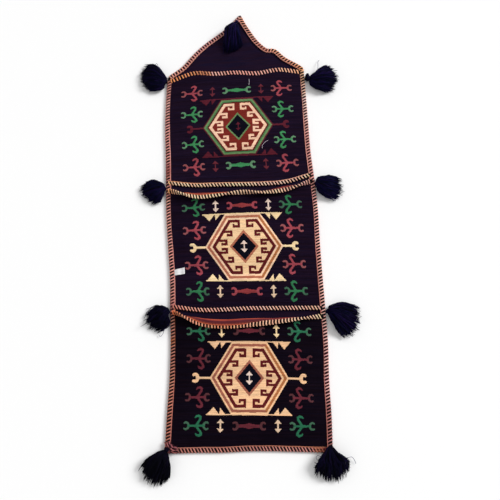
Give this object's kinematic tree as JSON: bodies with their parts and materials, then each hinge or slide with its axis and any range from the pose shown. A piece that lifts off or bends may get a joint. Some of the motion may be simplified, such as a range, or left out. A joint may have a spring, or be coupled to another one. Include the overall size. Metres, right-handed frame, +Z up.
{
  "type": "kilim saddle bag",
  "caption": "Long woven kilim strip with a pointed flap and a row of open front pockets, overcast edge bindings and yarn tassels at its corners and seams.",
  "frame": {"origin": "on the underside of the back panel, in the middle of its length and width as it lies", "axes": "+Y from the hem to the flap's point, +Z up from the table through the pockets, +X to the right seen from above"},
  "size_m": [0.5148, 1.188, 0.0362],
  "materials": {
    "kilim_back": "dark flat weave",
    "kilim_front": "dark flat weave with coloured motifs",
    "seam_thread": "overcast wool thread, orange and dark",
    "edge_thread": "overcast wool thread, peach and maroon",
    "white_tape": "smooth tape",
    "tassel_neck": "wrapped yarn",
    "tassel_yarn": "cut yarn"
  },
  "bodies": {
    "root": {"back_panel": "kilim_back", "pocket_front_lower": "kilim_front", "pocket_front_middle": "kilim_front", "pocket_front_upper": "kilim_front", "mouth_binding_lower": "seam_thread", "mouth_binding_middle": "seam_thread", "mouth_binding_upper": "seam_thread", "foot_binding_middle": "seam_thread", "foot_binding_upper": "seam_thread", "hem_binding": "seam_thread", "side_binding_left": "edge_thread", "side_binding_right": "edge_thread", "flap_binding": "edge_thread", "side_tag": "white_tape", "tassel_shoulder_left_neck": "tassel_neck", "tassel_shoulder_left_skirt": "tassel_yarn", "tassel_shoulder_right_neck": "tassel_neck", "tassel_shoulder_right_skirt": "tassel_yarn", "tassel_waist_left_neck": "tassel_neck", "tassel_waist_left_skirt": "tassel_yarn", "tassel_waist_right_neck": "tassel_neck", "tassel_waist_right_skirt": "tassel_yarn", "tassel_hip_left_neck": "tassel_neck", "tassel_hip_left_skirt": "tassel_yarn", "tassel_hip_right_neck": "tassel_neck", "tassel_hip_right_skirt": "tassel_yarn", "tassel_hem_left_neck": "tassel_neck", "tassel_hem_left_skirt": "tassel_yarn", "tassel_hem_right_neck": "tassel_neck", "tassel_hem_right_skirt": "tassel_yarn", "tassel_flap_neck": "tassel_neck", "tassel_flap_skirt": "tassel_yarn"}
  },
  "joints": []
}
